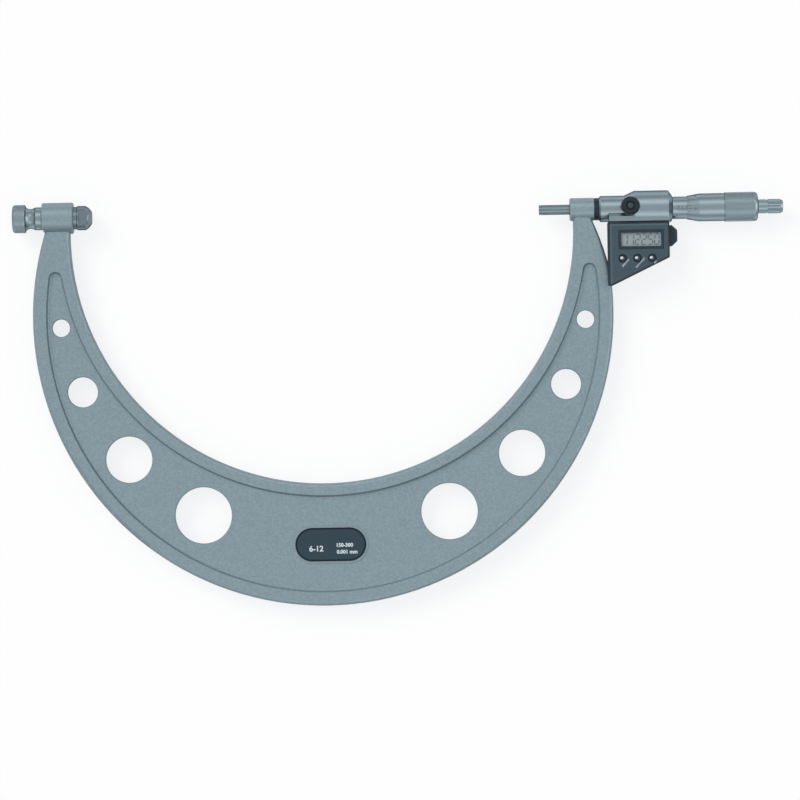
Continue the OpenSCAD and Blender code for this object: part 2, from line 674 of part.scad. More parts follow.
module graduated_sleeve() color(bright_steel) difference() {
    turned([[head_end + side_gap, inner_sleeve_d / 2 + run_gap], [head_end + side_gap, sleeve_d / 2 - 0.3],
        [head_end + side_gap + 0.3, sleeve_d / 2], [sleeve_end - 0.3, sleeve_d / 2],
        [sleeve_end, sleeve_d / 2 - 0.3], [sleeve_end, inner_sleeve_d / 2 + run_gap]]);
    rotate([180, 0, 0]) upright(head_end + 2.2, 0, 0, sleeve_d, 0.6);
}

module spindle() color(bright_steel) difference() {
    turned([[spindle_x + 1.6, 0], [spindle_x + 1.6, spindle_d / 2], [screw_x, spindle_d / 2],
        [screw_x + 0.4, screw_r], [screw_end, screw_r], [screw_end, taper_r[0]],
        [thimble_end - 1, taper_r[1]], [thimble_end - 1, 0]]);
    box_at([groove_x, -key_w / 2 - run_gap, spindle_d / 2 - key_h - 0.15],
        [groove_end, key_w / 2 + run_gap, spindle_d]);
    bar(thimble_end - 9, thimble_end, stud_r - 0.25 + seat_gap);
}

module spindle_tip() color(carbide_grey)
    turned([[spindle_x + 1.58, 0], [spindle_x + 1.58, spindle_d / 2], [spindle_x + 0.2, spindle_d / 2],
        [spindle_x, spindle_d / 2 - 0.2], [spindle_x, 0]]);

module thimble() color(bright_steel) difference() {
    turned([[thimble_x, thimble_bore_r], [thimble_x, thimble_edge_d / 2], [thimble_x + bevel_len, thimble_d / 2],
        [thimble_end - grip_len - 0.5, thimble_d / 2], [thimble_end - grip_len - 0.5, thimble_d / 2 - 0.25],
        [thimble_end - grip_len, thimble_d / 2 - 0.25], [thimble_end - grip_len + 0.3, grip_d / 2],
        [thimble_end - 1.8, grip_d / 2], [thimble_end - 0.6, grip_d / 2 - 0.5], [thimble_end, grip_d / 2 - 1.6],
        [thimble_end, 1], [thimble_x + thimble_depth, 1], [thimble_x + thimble_depth, thimble_bore_r]]);
    turned([[thimble_x + thimble_depth - 1, 0], [thimble_x + thimble_depth - 1, taper_r[0] + 0.16],
        [thimble_end - 0.8, taper_r[1] + seat_gap], [thimble_end - 0.8, 0]]);
    bar(thimble_end - 2, thimble_end + 1, stud_r - 0.25 + seat_gap);
}

module ratchet_stud() color(steel_grey) difference() {
    turned([[thimble_end - 8.5, 0], [thimble_end - 8.5, stud_r - 0.25], [thimble_end + seat_gap, stud_r - 0.25],
        [thimble_end + seat_gap, 3.6], [ratchet_x + ratchet_flange, 3.6], [ratchet_x + ratchet_flange, stud_r],
        [screw_head_x - seat_gap, stud_r], [screw_head_x - seat_gap, 0]]);
    bar(screw_head_x - 4.6, ratchet_end, 0.8 + seat_gap);
    for (s = [0, 1]) mirror([0, s, 0])
        box_at([spring_x + 1, stud_r - 0.35, -3], [clutch_x + clutch_t + 0.3, stud_r + 1, 3]);
}

// Coil spring as a tube swept along a helix about the measuring axis
module ratchet_spring() color(bright_steel) polyhedron(
    points = [for (i = [0 : spring_rings], j = [0 : spring_sides - 1])
        let (a = 360 * i / spring_steps, b = 360 * j / spring_sides, r = spring_r + spring_wire * cos(b))
        [spring_x + spring_wire + (spring_len - 2 * spring_wire) * i / spring_rings + spring_wire * sin(b),
            r * cos(a), r * sin(a)]],
    faces = concat(
        [[for (j = [0 : spring_sides - 1]) j]],
        [for (i = [0 : spring_rings - 1], j = [0 : spring_sides - 1], k = [0, 1])
            let (n = (j + 1) % spring_sides, p = i * spring_sides, q = p + spring_sides)
            k == 0 ? [p + j, q + j, p + n] : [p + n, q + j, q + n]],
        [[for (j = [spring_sides - 1 : -1 : 0]) spring_rings * spring_sides + j]]));

// A ring of one-way teeth, from station x towards +X when dir is 1
module tooth_ring(x, dir, r_in, r_out) for (i = [0 : ratchet_teeth - 1])
    rotate([360 * (i + 0.5) / ratchet_teeth, 0, 0]) translate([x, 0, 0])
        intersection() {
            translate([0, 0, r_in]) linear_extrude(r_out - r_in)
                polygon([[-0.1 * dir, -0.55], [-0.1 * dir, 0.55], [dir * tooth_h, 0.5]]);
            difference() { bar(-3, 3, r_out); bar(-4, 4, r_in); }
        }

module ratchet_clutch() color(steel_grey) {
    difference() {
        bar(clutch_x, clutch_x + clutch_t, clutch_r);
        difference() {
            bar(clutch_x - 1, clutch_x + clutch_t + 1, stud_r + run_gap);
            for (s = [0, 1]) mirror([0, s, 0])
                box_at([clutch_x - 2, stud_r - 0.3, -3], [clutch_x + clutch_t + 2, stud_r + 1, 3]);
        }
    }
    tooth_ring(clutch_x + clutch_t, 1, stud_r + 0.15, clutch_r - 0.05);
}

module ratchet_knob() color(steel_grey) {
    r = ratchet_d / 2;
    difference() {
        union() {
            turned([[ratchet_x, 0], [ratchet_x, r - 0.5], [ratchet_x + 0.4, r - 0.2], [ratchet_x + 5.4, r - 0.2],
                [ratchet_x + 5.4, r - 0.6], [ratchet_x + 6.2, r - 0.6], [ratchet_end - 1.6, r - 0.6],
                [ratchet_end - 1.6, r - 0.3], [ratchet_end - 0.2, r - 0.8], [ratchet_end, r - 1], [ratchet_end, 0]]);
            translate([ratchet_x + 6.4, 0, 0]) rotate([0, 90, 0]) linear_extrude(ratchet_len - 8.2)
                polygon([for (i = [0 : 2 * ratchet_ridges - 1]) let (q = r - (i % 2) * 0.35)
                    q * [cos(180 * i / ratchet_ridges), sin(180 * i / ratchet_ridges)]]);
        }
        bar(ratchet_x - 1, knob_web_x, ratchet_bore);
        bar(ratchet_x, ratchet_end, stud_r + run_gap);
        bar(screw_head_x - side_gap, ratchet_end + 1, 3.2);
    }
    tooth_ring(knob_web_x, -1, stud_r + 0.15, clutch_r - 0.05);
}

module ratchet_screw() color(bright_steel) difference() {
    union() {
        bar(screw_head_x, screw_head_x + 1.5, 2.9);
        bar(screw_head_x - 4, screw_head_x + 0.1, 0.8);
    }
    box_at([screw_head_x + 0.8, -4, -0.35], [screw_head_x + 4, 4, 0.35]);
}

// Wedges that bevel the front edges of an outline whose points run anticlockwise
module front_bevel(pts, top, bevel) for (i = [0 : len(pts) - 1])
    let (a = pts[i], d = pts[(i + 1) % len(pts)] - a)
        translate([a[0], a[1], top - bevel]) rotate([0, 0, atan2(d[1], d[0])]) rotate([45, 0, 0])
            translate([-3, -4, 0]) cube([norm(d) + 6, 12, 6]);

module display_cover() color(slate) difference() {
    translate([0, 0, part_z]) linear_extrude(cover_depth) polygon(rounded(cover_outline(0), 1.2, 5));
    front_bevel(cover_outline(0), cover_top, cover_bevel);
    difference() {
        translate([0, 0, part_z - 1]) linear_extrude(case_in - part_z + 1)
            polygon(rounded(cover_outline(case_wall), 0.6, 4));
        for (p = post_at) upright(p[0], p[1], part_z - 1, cover_top, post_r);
    }
    translate([lcd_x, lcd_y, 0]) {
        translate([0, 0, part_z]) linear_extrude(cover_depth + 1) polygon(rounded(box_points(lcd_size[0],
            lcd_size[1]), 0.4, 3));
        translate([0, 0, cover_top - window_t - 0.1]) linear_extrude(2)
            polygon(rounded(box_points(window_size[0], window_size[1]), 0.8, 4));
    }
    for (i = [0 : 2]) upright(button_x + i * button_pitch, button_y, part_z, cover_top + 1, button_d / 2 + 0.1);
    for (p = post_at) upright(p[0], p[1], part_z - 1, part_z + screw_grip + 0.2, post_hole_r + seat_gap);
}

module display_case() color(slate) {
    difference() {
        union() {
            difference() {
                translate([0, 0, -case_back]) linear_extrude(part_z + case_back - seat_gap)
                    polygon(rounded(case_outline(0), 1.2, 5));
                translate([0, 0, case_wall - case_back]) linear_extrude(part_z + case_back)
                    polygon(rounded(case_outline(case_wall), 0.8, 4));
            }
            for (p = post_at) upright(p[0], p[1], -case_back + 0.5, board_z - seat_gap, post_r);
            upright(battery_x, battery_y, -case_back + 0.5, chamber_top, chamber_r + 1.4);
        }
        for (p = post_at) {
            upright(p[0], p[1], -case_back - 1, part_z + 1, post_hole_r + 0.1);
            upright(p[0], p[1], -case_back - 1, screw_z + screw_head_t + seat_gap, screw_head_r + 0.1);
        }
        upright(battery_x, battery_y, -case_back - 1, cap_z + cap_t + 0.02, cap_d / 2 + run_gap);
        upright(battery_x, battery_y, 0 - case_back, chamber_top + 1, chamber_r);
        box_at([stator_x - 0.2, unit_top - 3, ribbon_z - 0.3],
            [stator_x + ribbon_w + 0.3, unit_top + 1, ribbon_z + 0.6]);
        for (p = head_screw_at) upright_y(p, unit_top - 3, unit_top + 1, 1.1);
        box_at([cover_r - 3, plug_y - slot_half[0] - 0.1, plug_z - slot_half[1] - 0.1],
            [cover_r + 1, plug_y + slot_half[0] + 0.1, plug_z + slot_half[1] + 0.1]);
    }
}

module display_window() color([0.75, 0.85, 0.88, 0.45])
    translate([lcd_x, lcd_y, cover_top - window_t - 0.1 + seat_gap]) linear_extrude(window_t)
        polygon(rounded(box_points(window_size[0] - 0.1, window_size[1] - 0.1), 0.75, 4));

module lcd_panel() color(lcd_grey) translate([lcd_x, lcd_y, lcd_z])
    translate([0, 0, lcd_t / 2]) cube([lcd_size[0] + 2 * lcd_border, lcd_size[1] + 2 * lcd_border, lcd_t], center = true);

module lcd_contact_strips() color(near_black) for (s = [-1, 1])
    translate([lcd_x - lcd_size[0] / 2, lcd_y + s * (lcd_size[1] / 2 - 0.2) - 0.6, board_top + seat_gap])
        cube([lcd_size[0], 1.2, lcd_z - board_top - 2 * seat_gap]);

module circuit_board() color(board_green) {
    difference() {
        translate([0, 0, board_z]) linear_extrude(board_t)
            polygon(rounded(case_outline(case_wall + 0.35), 0.8, 4));
        for (p = post_at) upright(p[0], p[1], board_z - 1, board_top + 1, post_hole_r + 0.1);
    }
    box_at([stator_x - 0.6, unit_top - ribbon_foot - ribbon_socket, ribbon_z - 0.3],
        [stator_x + ribbon_w + 0.6, unit_top - ribbon_foot, board_z + 0.1]);
}

module push_button(i) {
    x = button_x + i * button_pitch;
    translate([x, button_y, 0]) rotate_extrude() polygon([[0, button_low], [1.2, button_low],
        [1.2, case_in - side_gap - button_flange],
        [button_d / 2 + button_rim, case_in - side_gap - button_flange],
        [button_d / 2 + button_rim, case_in - side_gap], [button_d / 2, case_in - side_gap],
        [button_d / 2, button_top - 0.3], [button_d / 2 - 0.3, button_top], [button_d / 2 - 0.6, button_top],
        [button_d / 2 - 1.5, button_top - button_dish], [0, button_top - button_dish]]);
}
module zero_button() color(near_black) push_button(0);
module hold_button() color(near_black) push_button(1);
module preset_button() color(near_black) push_button(2);

module button_switches() color(near_black) for (i = [0 : 2])
    translate([button_x + i * button_pitch, button_y, board_top + seat_gap]) {
        translate([-2, -2, 0]) cube([4, 4, switch_h * 0.6]);
        cylinder(h = switch_h - seat_gap, r = 1);
    }

module battery() color(bright_steel) translate([battery_x, battery_y, battery_z]) rotate_extrude()
    polygon([[0, 0], [battery_d / 2 - 0.3, 0], [battery_d / 2, 0.3], [battery_d / 2, battery_h - 1],
        [battery_d / 2 - 0.8, battery_h - 0.6], [battery_d / 2 - 0.8, battery_h], [0, battery_h]]);

module battery_contact() color(brass) {
    z = battery_z + battery_h + 0.05;
    translate([battery_x, battery_y, z]) cylinder(h = 0.3, r = 2);
    box_at([battery_x - 1, battery_y - 1, z], [battery_x + 1, battery_y + 1, board_z - seat_gap]);
}

module battery_cap() color(near_black) difference() {
    upright(battery_x, battery_y, cap_z, cap_z + cap_t - seal_t - 0.02, cap_d / 2);
    translate([battery_x, battery_y, cap_z - 1]) rotate([0, 0, 45]) translate([-4.2, -0.8, 0]) cube([8.4, 1.6, 1.6]);
}

module battery_cap_seal() color(near_black) difference() {
    upright(battery_x, battery_y, cap_z + cap_t - seal_t, cap_z + cap_t, cap_d / 2 - 0.05);
    upright(battery_x, battery_y, cap_z - 1, cap_z + cap_t + 1, cap_d / 2 - 0.75);
}

module connector_cap() color(near_black) {
    translate([cover_r + seat_gap, plug_y, plug_z - plug_half]) linear_extrude(2 * plug_half)
        polygon(rounded([[0, plug_base / 2], [0, -plug_base / 2], [plug_reach * 0.35, -plug_base / 2],
            [plug_reach, -plug_tip / 2], [plug_reach, plug_tip / 2], [plug_reach * 0.35, plug_base / 2]],
            plug_round, 4));
    box_at([cover_r - plug_tongue, plug_y - slot_half[0], plug_z - slot_half[1]],
        [cover_r + 1, plug_y + slot_half[0], plug_z + slot_half[1]]);
}

module connector_socket() color(near_black) difference() {
    box_at([cover_r - socket_len, plug_y - slot_half[0] - socket_wall, plug_z - slot_half[1] - socket_wall],
        [cover_r - case_wall - seat_gap, plug_y + slot_half[0] + socket_wall, plug_z + slot_half[1] + socket_wall]);
    box_at([cover_r - socket_len + 2 * socket_wall, plug_y - slot_half[0] - 0.1, plug_z - slot_half[1] - 0.1],
        [cover_r, plug_y + slot_half[0] + 0.1, plug_z + slot_half[1] + 0.1]);
}

module case_screws() color(bright_steel) for (p = post_at) difference() {
    union() {
        upright(p[0], p[1], screw_z, screw_z + screw_head_t, screw_head_r);
        upright(p[0], p[1], screw_z + 0.5, part_z + screw_grip, post_hole_r);
    }
    for (a = [0, 90]) translate([p[0], p[1], screw_z - 1]) rotate([0, 0, a])
        translate([-1.1, -0.2, 0]) cube([2.2, 0.4, 1.5]);
}

frame();
range_plate();
anvil();
anvil_tip();
anvil_clamp_screw();
anvil_clamp_collar();
head_spacer_ring();
spindle_bush();
head_body();
head_end_cap();
head_mount_screws();
clamp_knob();
clamp_knob_screw();
clamp_shaft();
clamp_pad();
encoder_rotor();
encoder_stator();
sensor_ribbon();
inner_sleeve();
adjusting_nut();
graduated_sleeve();
spindle();
spindle_tip();
thimble();
ratchet_stud();
ratchet_spring();
ratchet_clutch();
ratchet_knob();
ratchet_screw();
display_cover();
display_case();
display_window();
lcd_panel();
lcd_contact_strips();
circuit_board();
zero_button();
hold_button();
preset_button();
button_switches();
battery();
battery_contact();
battery_cap();
battery_cap_seal();
connector_cap();
connector_socket();
case_screws();
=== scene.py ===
import json
import math
import bmesh
import bpy
from mathutils import Matrix, Vector


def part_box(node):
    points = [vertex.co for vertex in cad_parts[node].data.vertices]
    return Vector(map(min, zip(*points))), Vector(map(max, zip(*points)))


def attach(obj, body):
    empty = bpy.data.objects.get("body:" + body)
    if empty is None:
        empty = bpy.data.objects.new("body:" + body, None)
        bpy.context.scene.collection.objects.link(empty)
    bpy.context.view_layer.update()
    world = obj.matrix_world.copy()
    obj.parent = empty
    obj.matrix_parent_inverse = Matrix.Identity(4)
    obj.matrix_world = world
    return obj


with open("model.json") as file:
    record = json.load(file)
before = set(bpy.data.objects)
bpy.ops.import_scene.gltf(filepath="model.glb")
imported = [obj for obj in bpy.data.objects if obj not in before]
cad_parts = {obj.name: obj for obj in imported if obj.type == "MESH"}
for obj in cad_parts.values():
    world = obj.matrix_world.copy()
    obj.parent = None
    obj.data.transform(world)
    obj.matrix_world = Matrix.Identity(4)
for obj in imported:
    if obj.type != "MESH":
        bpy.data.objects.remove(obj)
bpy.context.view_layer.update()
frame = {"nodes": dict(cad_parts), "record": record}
mm = 0.001
print("frame loaded")


def srgb(red, green, blue):  # a colour as picked on screen, 0 to 255
    shares = (c / 255 for c in (red, green, blue))
    return tuple(((s + 0.055) / 1.055) ** 2.4 if s > 0.04045 else s / 12.92 for s in shares) + (1,)


class Link:  # a socket that takes part in sums
    def __init__(self, board, socket):
        self.board, self.socket = board, socket

    def sum(self, operation, first, second, clamp=False):
        settings = {"operation": operation, "use_clamp": clamp}
        return self.board.node("ShaderNodeMath", settings, {0: first, 1: second})

    def __add__(self, other): return self.sum("ADD", self, other)
    def __radd__(self, other): return self.sum("ADD", other, self)
    def __sub__(self, other): return self.sum("SUBTRACT", self, other)
    def __rsub__(self, other): return self.sum("SUBTRACT", other, self)
    def __mul__(self, other): return self.sum("MULTIPLY", self, other)
    def __rmul__(self, other): return self.sum("MULTIPLY", other, self)
    def __pow__(self, other): return self.sum("POWER", self, other)
    def above(self, other): return self.sum("GREATER_THAN", self, other)
    def below(self, other): return self.sum("LESS_THAN", self, other)
    def between(self, low, high): return self.above(low) * self.below(high)
    def larger(self, other): return self.sum("MAXIMUM", self, other)
    def sizeOnly(self): return self.sum("ABSOLUTE", self, 0)
    def clamped(self): return self.sum("ADD", self, 0, clamp=True)


class NodeBoard:  # a node tree and the ways to add to it
    def __init__(self, tree):
        self.tree = tree

    def node(self, kind, settings=None, sockets=None, output=0):
        made = self.tree.nodes.new(kind)
        for key, value in (settings or {}).items():
            setattr(made, key, value)
        for key, value in (sockets or {}).items():
            if isinstance(value, Link):
                self.tree.links.new(value.socket, made.inputs[key])
            else:
                made.inputs[key].default_value = value
        return Link(self, made.outputs[output])

    def axisOf(self, vector, name):
        return self.node("ShaderNodeSeparateXYZ", None, {0: vector}, name)

    def backgroundRays(self):  # 1 for the rays that show the background, 0 for the rays that light
        rays = [self.node("ShaderNodeLightPath", output="Is " + kind + " Ray")
                for kind in ("Camera", "Glossy", "Transmission")]
        return (rays[0] + rays[1] + rays[2]).clamped()

    def ease(self, value, low, high, start, end):  # a smooth step from low to high
        return self.node("ShaderNodeMapRange", {"interpolation_type": "SMOOTHSTEP"},
                         {0: value, 1: start, 2: end, 3: low, 4: high})

    def mix(self, share, first, second):
        return self.node("ShaderNodeMix", {"data_type": "RGBA"}, {0: share, 6: first, 7: second}, 2)


class Finish(NodeBoard):  # a procedural material; the patterns and the bump of a look are in metres
    def __init__(self, name, look):
        self.look = look
        self.material = bpy.data.materials.new(name)
        self.material.use_nodes = True
        self.material.diffuse_color = look["colour"]
        super().__init__(self.material.node_tree)
        self.shader = self.tree.nodes["Principled BSDF"]
        self.set("Base Color", look["colour"])
        self.set("Roughness", look["roughness"])
        self.set("Metallic", look.get("metallic", 0.0))
        for socketName, value in look.get("fixed", {}).items():
            self.set(socketName, value)
        self.place = self.node("ShaderNodeTexCoord", output="Object")

    def set(self, name, value):
        socket = self.shader.inputs[name]
        if isinstance(value, Link):
            self.tree.links.new(value.socket, socket)
        else:
            socket.default_value = value

    def axis(self, name):
        return self.axisOf(self.place, name)

    def noise(self, size, detail, stretch=(1, 1, 1), rough=0.55):
        spot = self.node("ShaderNodeVectorMath", {"operation": "MULTIPLY"},
                         {0: self.place, 1: tuple(s / size for s in stretch)})
        return self.node("ShaderNodeTexNoise", None,
                         {"Vector": spot, "Scale": 1.0, "Detail": detail, "Roughness": rough})

    def shade(self, share):  # base colour that wanders between a darker and a lighter form of itself
        dark, light = self.look["shade"]
        low = tuple(c * dark for c in self.look["colour"][:3]) + (1,)
        high = tuple(min(1, c * light) for c in self.look["colour"][:3]) + (1,)
        self.tone = self.mix(share, low, high)
        self.set("Base Color", self.tone)

    def bump(self, height, strength):
        self.set("Normal", self.node("ShaderNodeBump", None, {
            "Height": height, "Distance": self.look["depth"], "Strength": strength}))


castLook = {"colour": srgb(144, 163, 171), "roughness": 0.32, "metallic": 0.42,
            "fixed": {"Specular Tint": (0.4, 0.43, 0.45, 1)}, "shade": (0.88, 1.11), "depth": 0.00018,
            "cloud": 0.045, "dimple": 0.0024, "grain": 0.0014, "grainEdge": (0.36, 0.64), "speck": 0.00035}


def castEnamel(look):  # hammered enamel on a sand casting
    f = Finish("castEnamel", look)
    cloud = f.noise(look["cloud"], 3)
    grain = f.noise(look["grain"], 4, rough=0.65)
    speck = f.noise(look["speck"], 2)
    f.shade(cloud * 0.2 + f.ease(grain, 0, 1, *look["grainEdge"]) * 0.65 + speck * 0.15)
    f.set("Roughness", 0.28 + grain * 0.14)
    f.bump(f.noise(look["dimple"], 2) * 0.5 + grain * 0.4 + speck * 0.1, 0.7)
    return f.material


turnedLook = {"metallic": 1.0, "fixed": {"Specular Tint": (0.1, 0.11, 0.12, 1)}, "shade": (0.9, 1.06),
              "depth": 0.000006, "cloud": 0.012, "fine": 0.0003}
turnedMetals = {
    "satinChrome": {"colour": srgb(154, 171, 179), "roughness": 0.31, "groove": 0.00012},
    "groundSteel": {"colour": srgb(134, 149, 157), "roughness": 0.34, "groove": 0.00008},
    "zincSteel": {"colour": srgb(170, 182, 190), "roughness": 0.3, "groove": 0.0004},
    "turnedBrass": {"colour": srgb(196, 166, 98), "roughness": 0.3, "groove": 0.00015},
    "blackOxide": {"colour": srgb(84, 99, 108), "roughness": 0.3, "groove": 0.00012},
}


def turnedMetal(name):
    look = {**turnedLook, **turnedMetals[name]}
    f = Finish(name, look)
    rings = f.noise(look["groove"], 2, (1, 0.02, 0.02))  # fine rings left by the lathe, round X
    cloud = f.noise(look["cloud"], 3)
    fine = f.noise(look["fine"], 2)
    f.shade(cloud * 0.5 + rings * 0.5)
    f.set("Roughness", look["roughness"] - 0.06 + rings * 0.06 + cloud * 0.08)
    f.bump(rings * 0.8 + fine * 0.2, 0.6)
    return f.material


carbideLook = {"colour": srgb(124, 138, 146), "roughness": 0.18, "metallic": 1.0, "shade": (0.9, 1.08),
               "depth": 0.000002, "grain": 0.00012}


def carbideFace(look):
    f = Finish("carbideFace", look)
    grain = f.noise(look["grain"], 3)
    f.shade(grain)
    f.set("Roughness", 0.16 + grain * 0.1)
    f.bump(grain, 0.4)
    return f.material


mouldedLook = {"shade": (0.88, 1.14), "cloud": 0.009}
mouldings = {
    "slatePlastic": {"colour": srgb(63, 81, 91), "roughness": 0.46, "fixed": {"Specular IOR Level": 0.35},
                     "grain": 0.00045, "depth": 0.00004},
    "blackPlastic": {"colour": srgb(30, 43, 51), "roughness": 0.42, "fixed": {"Specular IOR Level": 0.3},
                     "grain": 0.00045, "depth": 0.00004},
    "blackRubber": {"colour": srgb(57, 74, 84), "roughness": 0.62, "fixed": {"Specular IOR Level": 0.3},
                    "grain": 0.0003, "depth": 0.00003},
}


def mouldedSkin(name):  # the fine skin of an eroded mould
    look = {**mouldedLook, **mouldings[name]}
    f = Finish(name, look)
    grain = f.noise(look["grain"], 3, rough=0.6)
    cloud = f.noise(look["cloud"], 2)
    f.shade(cloud * 0.6 + grain * 0.4)
    f.set("Roughness", look["roughness"] - 0.06 + grain * 0.14)
    f.bump(grain, 0.7)
    return f


# painted shadow in the gap round each button: a dark ring on the cover's front face
buttonGapShade = {"inner": 1.5, "outer": 2.6, "soft": 0.4, "colour": srgb(24, 37, 45),
               "front": 10.5}  # only above this height
# painted shade along the cover's edges, and a painted highlight line inside its left and top edges
coverEdgeShadeAndHighlight = {"left": 1.7, "right": 1.1, "top": 1.5, "slope": 1.3, "soft": 0.35, "strength": 0.75,
             "slopeStart": 2.8, "slopeRise": 0.48,
             "line": 0.75, "edgeHighlightStrength": 0.7, "edgeHighlightColour": srgb(86, 104, 114)}


def slateSkin(rings, edge):  # painted shade along the edges, a paler painted highlight line inside two of them, painted shadows as dark rings round the buttons
    f = mouldedSkin("slatePlastic")
    x, y, z = (f.axis(name) for name in "XYZ")
    dark = None
    for button in ("zero_button", "hold_button", "preset_button"):
        low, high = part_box(button)
        middle = (low + high) / 2
        away = ((x - middle.x) * (x - middle.x) + (y - middle.y) * (y - middle.y)) ** 0.5
        # each ring is a painted shadow in the gap round a button
        gapShadeRing = f.ease(away, 0, 1, (rings["inner"] - rings["soft"]) * mm, rings["inner"] * mm) \
            * f.ease(away, 1, 0, rings["outer"] * mm, (rings["outer"] + rings["soft"]) * mm)
        dark = gapShadeRing if dark is None else dark + gapShadeRing
    low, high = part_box("display_cover")
    level = 1 / math.hypot(1, edge["slopeRise"])
    slope = (y - low.y - (x - low.x - edge["slopeStart"] * mm) * edge["slopeRise"]) * level
    gaps = {"left": x - low.x, "right": high.x - x, "top": high.y - y, "slope": slope}
    soft = edge["soft"] * mm
    border = line = None
    # the border strips are painted shade; the thin strips inside the left and top edges are a painted
    # highlight
    for name, gap in gaps.items():
        width = edge[name] * mm
        strip = f.ease(gap, 1, 0, width - soft, width)
        border = strip if border is None else border + strip
        if name in ("left", "top"):
            highlightEnd = width + edge["line"] * mm
            thin = f.ease(gap, 0, 1, width - soft, width) * f.ease(gap, 1, 0, highlightEnd, highlightEnd + soft)
            line = thin if line is None else line + thin
    front = z.above(rings["front"] * mm)
    highlighted = f.mix(line.clamped() * front * edge["edgeHighlightStrength"], f.tone, edge["edgeHighlightColour"])
    paintedShade = (dark * front + border * edge["strength"]).clamped()
    f.set("Base Color", f.mix(paintedShade, highlighted, rings["colour"]))
    return f.material


plateLook = {"colour": srgb(50, 68, 78), "roughness": 0.45, "fixed": {"Specular IOR Level": 0.2},
             "shade": (0.8, 1.25), "depth": 0.00002, "cloud": 0.006, "grain": 0.0004,
             "rimShadowColour": srgb(13, 27, 36), "rimShadowFrom": 0.3, "rimShadowTo": 1.7}


def plateEnamel(look):  # darker towards the plate's rounded rim: a painted shadow
    f = Finish("plateEnamel", look)
    cloud = f.noise(look["cloud"], 3)
    grain = f.noise(look["grain"], 2)
    f.shade(cloud * 0.6 + grain * 0.4)
    low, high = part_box("range_plate")
    middle, half = (low + high) / 2, (high - low) / 2
    past = ((f.axis("X") - middle.x).sizeOnly() - (half.x - half.y)).larger(0.0)
    up = f.axis("Y") - middle.y
    gap = half.y - (past * past + up * up) ** 0.5
    # the dark rim colour is a painted shadow; inside it the plate keeps its own tone
    inside = f.ease(gap, 0, 1, look["rimShadowFrom"] * mm, look["rimShadowTo"] * mm)
    f.set("Base Color", f.mix(inside, look["rimShadowColour"], f.tone))
    f.set("Roughness", 0.4 + cloud * 0.12)
    f.bump(grain, 0.5)
    return f.material


windowLook = {"colour": srgb(40, 56, 66), "roughness": 0.12, "fixed": {"IOR": 1.5, "Specular IOR Level": 0.3},
              "shade": (0.85, 1.15), "smear": 0.006, "x": (336.7, 362.3), "y": (-24.4, -15.8), "clear": 0.1}


def clearWindow(look):  # clear plastic with a dark border printed behind it
    f = Finish("clearWindow", look)
    across = f.axis("X").between(*(v * mm for v in look["x"]))
    upwards = f.axis("Y").between(*(v * mm for v in look["y"]))
    smear = f.noise(look["smear"], 3, (1, 0.3, 1))
    f.shade(smear)
    f.set("Alpha", 1 - across * upwards * (1 - look["clear"]))
    f.set("Roughness", 0.1 + smear * 0.08)
    return f.material


lcdLook = {"colour": srgb(176, 192, 197), "roughness": 0.35, "shade": (0.92, 1.06),
           "lines": 0.0003, "cloud": 0.01}


def lcdGlass(look):
    f = Finish("lcdGlass", look)
    lines = f.noise(look["lines"], 1, (1, 0.05, 1))
    cloud = f.noise(look["cloud"], 2)
    f.shade(cloud * 0.6 + lines * 0.4)
    f.set("Roughness", 0.3 + cloud * 0.1)
    return f.material


boardLook = {"colour": srgb(40, 92, 66), "roughness": 0.4, "shade": (0.8, 1.2), "depth": 0.00002,
             "weave": 0.0004, "cloud": 0.004}


def circuitGreen(look):
    f = Finish("circuitGreen", look)
    weave = f.noise(look["weave"], 1, (1, 1, 0.2))
    cloud = f.noise(look["cloud"], 2)
    f.shade(weave * 0.5 + cloud * 0.5)
    f.bump(weave, 0.6)
    return f.material


inkLook = {"roughness": 0.5, "shade": (0.85, 1.15), "patch": 0.0005}
inks = {"darkInk": srgb(22, 32, 38), "palePrintAndHighlight": srgb(214, 226, 231), "lcdInk": srgb(116, 132, 138),
        "labelInk": srgb(180, 198, 205)}


def ink(name):  # fill of a graduation or a printed mark; the pale one also colours the painted button highlights
    f = Finish(name, {**inkLook, "colour": inks[name]})
    f.shade(f.noise(inkLook["patch"], 2))
    return f.material


chrome = turnedMetal("satinChrome")
darkInk, palePrintAndHighlight, lcdInk, labelInk = (ink(name) for name in inks)
finishes = {
    "casting": castEnamel(castLook),
    "satin_chrome": chrome,
    "ground_steel": turnedMetal("groundSteel"),
    "carbide": carbideFace(carbideLook),
    "plate": plateEnamel(plateLook),
    "slate_plastic": slateSkin(buttonGapShade, coverEdgeShadeAndHighlight),
    "black_plastic": mouldedSkin("blackPlastic").material,
    "black_rubber": mouldedSkin("blackRubber").material,
    "clear_window": clearWindow(windowLook),
    "lcd": lcdGlass(lcdLook),
    "board": circuitGreen(boardLook),
    "brass": turnedMetal("turnedBrass"),
    "bright_zinc": turnedMetal("zincSteel"),
    "black_oxide": turnedMetal("blackOxide"),
}
for part in frame["record"]["subparts"]:
    node = frame["nodes"][part["node"]]
    node.data.materials.clear()
    node.data.materials.append(finishes[part["material_slot"]])
print("finishes given to", len(frame["nodes"]), "nodes")


